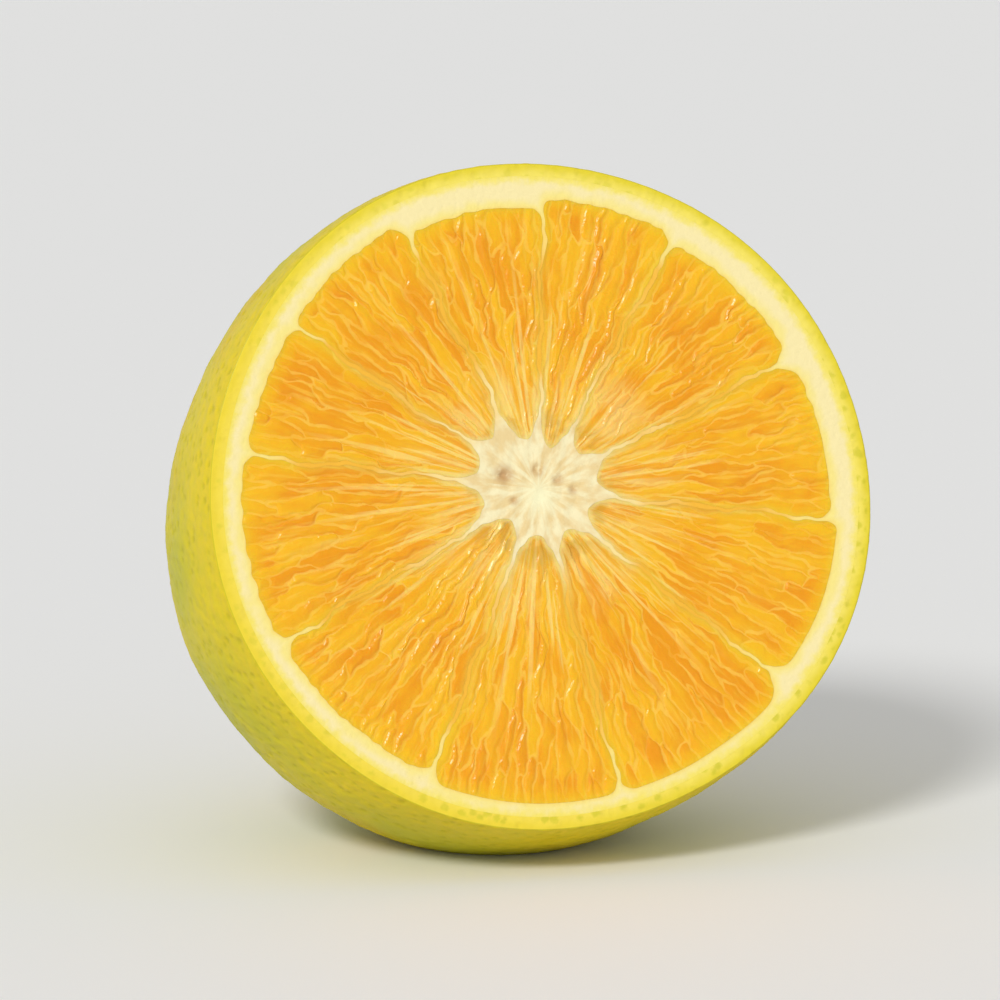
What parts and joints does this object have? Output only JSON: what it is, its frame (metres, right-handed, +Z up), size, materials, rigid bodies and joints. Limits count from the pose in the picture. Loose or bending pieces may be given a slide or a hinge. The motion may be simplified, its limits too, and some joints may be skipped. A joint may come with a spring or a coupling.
{
  "type": "cut navel orange",
  "caption": "Round citrus fruit cut across, lying on its side: thin glossy peel, pale pith and core, juicy wedge segments, and a puckered navel at the far end.",
  "frame": {"origin": "middle of the base of the whole piece's box, on the surface that it rests on", "axes": "+Z up; the cut face looks along -Y and leans back by 15 degrees; +X to the right of the face as seen from in front"},
  "size_m": [0.083, 0.0626, 0.082],
  "materials": {
    "zest": "waxy peel, pebbled with oil pores, semi-gloss",
    "pith": "dry spongy pith, matte",
    "flesh": "moist juice sacs, wet gloss"
  },
  "bodies": {
    "root": {"zest": "zest", "pith": "pith", "segment_01": "flesh", "segment_02": "flesh", "segment_03": "flesh", "segment_04": "flesh", "segment_05": "flesh", "segment_06": "flesh", "segment_07": "flesh", "segment_08": "flesh", "segment_09": "flesh", "segment_10": "flesh", "segment_11": "flesh"}
  },
  "joints": []
}
